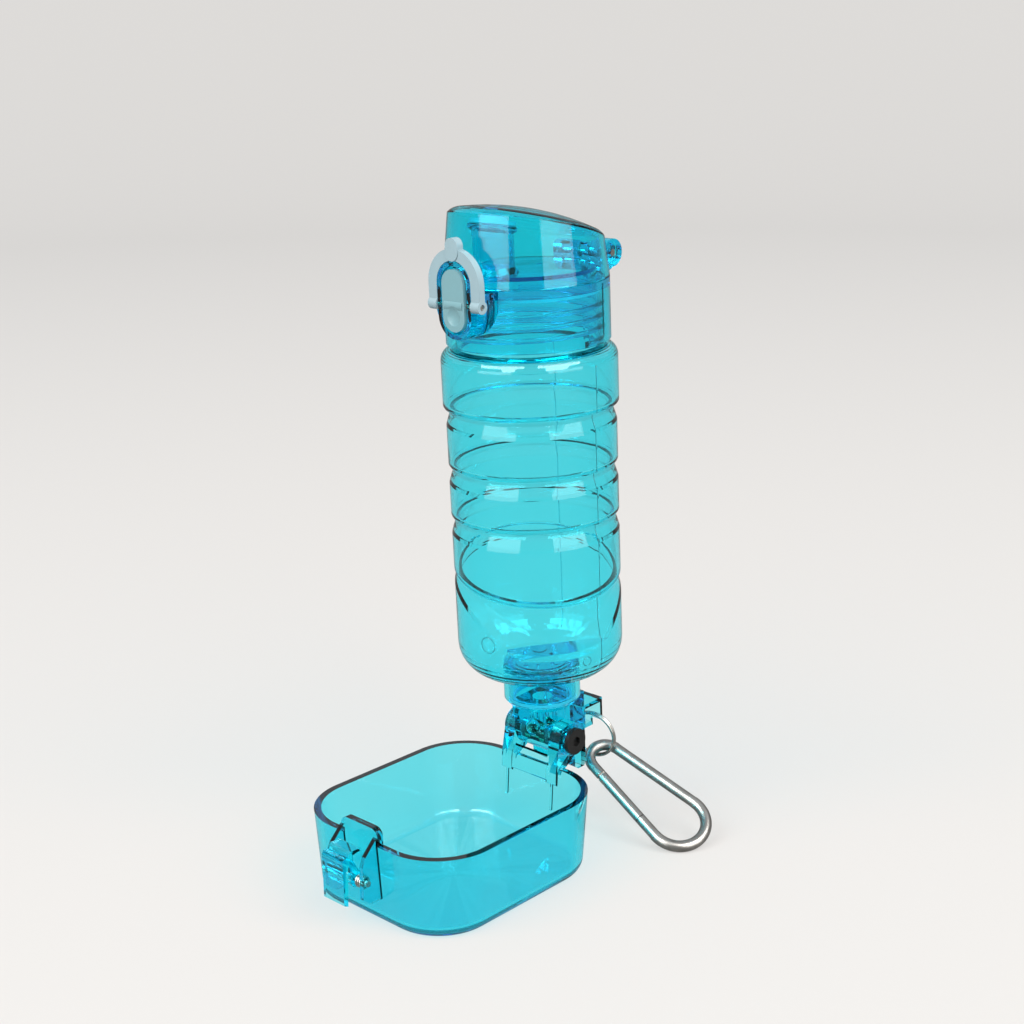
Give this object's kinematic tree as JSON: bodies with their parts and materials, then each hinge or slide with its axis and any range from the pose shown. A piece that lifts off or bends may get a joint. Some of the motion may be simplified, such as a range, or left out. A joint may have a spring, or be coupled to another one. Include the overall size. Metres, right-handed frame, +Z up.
{
  "type": "pet travel water bottle",
  "caption": "Translucent travel water bottle standing on a hinged folding drinking bowl, with a flip-top lid, bail lock, push button and a carabiner on a split ring.",
  "frame": {"origin": "middle of the bowl's flat underside", "axes": "+Z up, +X along the hinge axis, -Y from the bottle towards the bowl's latch end"},
  "size_m": [0.1098, 0.1626, 0.2738],
  "materials": {
    "bowl_plastic": "gloss",
    "bottle_plastic": "gloss",
    "cap_plastic": "gloss",
    "milky_plastic": "satin",
    "silicone": "matt",
    "black_steel": "satin",
    "steel": "polished",
    "alloy": "polished",
    "valve_plastic": "gloss",
    "seal_rubber": "matt"
  },
  "bodies": {
    "bowl": {"bowl": "bowl_plastic", "hinge_screw": "black_steel", "hinge_nut": "steel", "latch_pin": "steel", "latch_spring": "steel"},
    "latch": {"latch_lever": "bowl_plastic"},
    "bottle": {"bottle_body": "bottle_plastic", "outlet_cap": "cap_plastic", "outlet_gasket": "silicone", "outlet_disc": "cap_plastic", "valve_barrel": "valve_plastic", "valve_seal_left": "seal_rubber", "valve_seal_right": "seal_rubber"},
    "collar_carrier": {"collar_gasket": "silicone"},
    "collar": {"collar": "cap_plastic", "spout": "cap_plastic", "lid_pin": "steel", "lid_spring": "steel", "cross_pin": "steel", "button_spring": "steel"},
    "lid": {"lid": "cap_plastic", "lid_seal": "silicone"},
    "button": {"push_button": "milky_plastic"},
    "bail": {"bail_lock": "milky_plastic"},
    "ring": {"split_ring": "steel"},
    "hook": {"carabiner": "alloy", "gate_rivet": "steel"},
    "gate": {"carabiner_gate": "alloy"}
  },
  "joints": [
    {"name": "bowl_hinge", "type": "hinge", "parent": "bowl", "child": "bottle", "pos_m": [0, 0.0566, 0.0462], "axis": [1, 0, 0], "range_deg": [-28, 66]},
    {"name": "latch_press", "type": "hinge", "parent": "bowl", "child": "latch", "pos_m": [0, -0.0564, 0.0215], "axis": [1, 0, 0], "range_deg": [0, 12], "stiffness_Nm_per_rad": 0.05, "springref_deg": -17.19},
    {"name": "collar_lift", "type": "slide", "parent": "bottle", "child": "collar_carrier", "axis": [0, -0.0384, 0.9993], "range_m": [0, 0.0093]},
    {"name": "collar_turn", "type": "hinge", "parent": "collar_carrier", "child": "collar", "pos_m": [0, 0.04996, 0.21897], "axis": [0, -0.0384, 0.9993], "range_deg": [0, 720]},
    {"name": "lid_flip", "type": "hinge", "parent": "collar", "child": "lid", "pos_m": [0, 0.08676, 0.25091], "axis": [-1, 0, 0], "range_deg": [0, 135]},
    {"name": "button_press", "type": "hinge", "parent": "collar", "child": "button", "pos_m": [0, 0.00984, 0.23715], "axis": [1, 0, 0], "range_deg": [0, 8], "stiffness_Nm_per_rad": 0.02, "springref_deg": -11.46},
    {"name": "bail_swing", "type": "hinge", "parent": "collar", "child": "bail", "pos_m": [0, 0.00984, 0.23715], "axis": [1, 0, 0], "range_deg": [0, 120]},
    {"name": "ring_swing", "type": "hinge", "parent": "bottle", "child": "ring", "pos_m": [0, 0.08122, 0.04614], "axis": [1, 0, 0], "range_deg": [-3, 18]},
    {"name": "hook_swing", "type": "hinge", "parent": "ring", "child": "hook", "pos_m": [0.01132, 0.08604, 0.02917], "axis": [0.7812, 0.0807, 0.6191], "range_deg": [-8, 30]},
    {"name": "gate_open", "type": "hinge", "parent": "hook", "child": "gate", "pos_m": [0.01857, 0.07621, 0.02165], "axis": [0.4092, -0.3443, 0.845], "range_deg": [0, 20], "stiffness_Nm_per_rad": 0.01, "springref_deg": -22.92}
  ],
  "couplings": [
    {"joint": "collar_lift", "follows": "collar_turn", "m_per_rad": 0.00073211}
  ]
}
